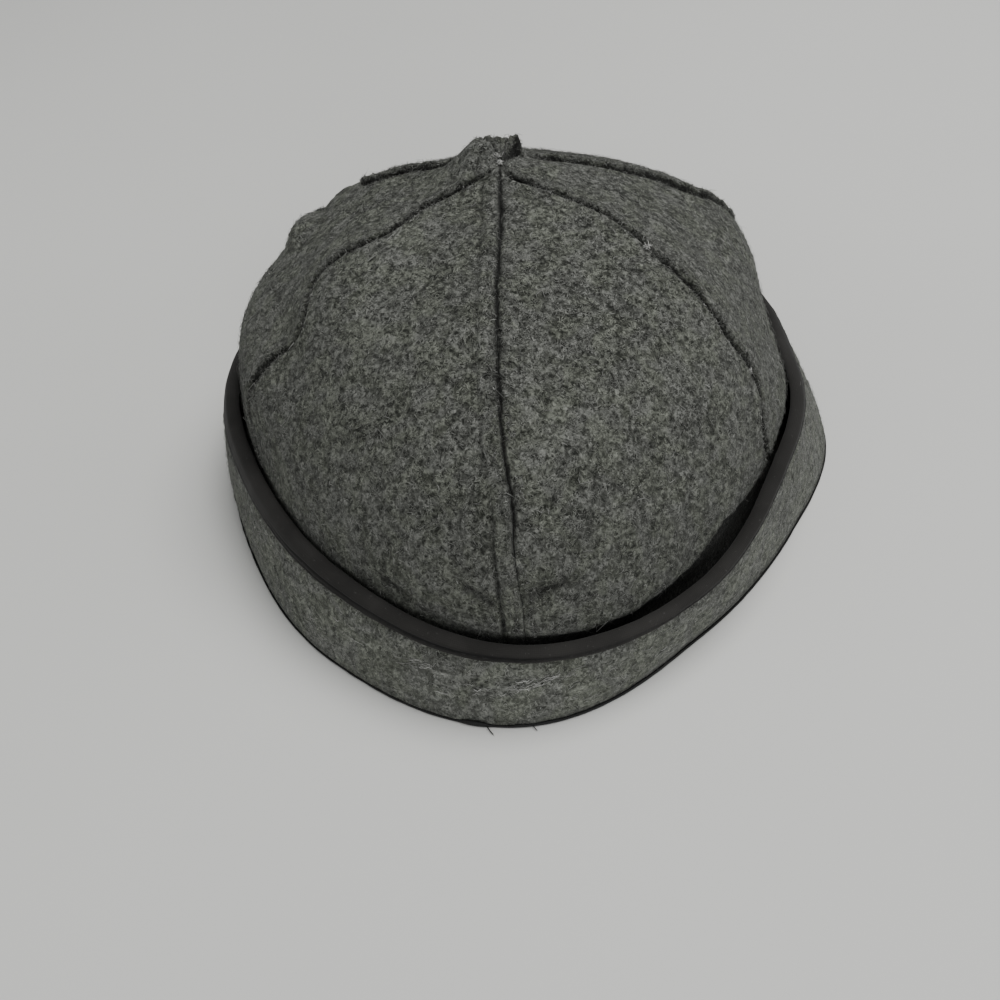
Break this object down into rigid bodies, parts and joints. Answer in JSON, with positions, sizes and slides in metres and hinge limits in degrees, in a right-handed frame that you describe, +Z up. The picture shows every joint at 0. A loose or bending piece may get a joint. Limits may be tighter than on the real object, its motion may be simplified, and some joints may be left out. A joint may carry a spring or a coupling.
{
  "type": "wool earflap cap",
  "caption": "Soft wool cap: a round crown of gores meeting at the top, with a bound ear band folded up outside and dark edging at the rim.",
  "frame": {"origin": "middle of the cap's outline on the plane that its rim rests on", "axes": "+Z up through the crown, +Y towards the wearer's face, +X towards the wearer's right"},
  "size_m": [0.1892, 0.2198, 0.0941],
  "materials": {
    "wool": "matt mottled grey felted wool",
    "binding_tape": "smooth charcoal cloth tape"
  },
  "bodies": {
    "root": {"crown_panel_back_left": "wool", "crown_panel_back_right": "wool", "crown_panel_side_left": "wool", "crown_panel_side_right": "wool", "crown_panel_front_left": "wool", "crown_panel_front_right": "wool", "earflap_band": "wool", "earflap_binding": "binding_tape", "rim_binding": "binding_tape"}
  },
  "joints": []
}
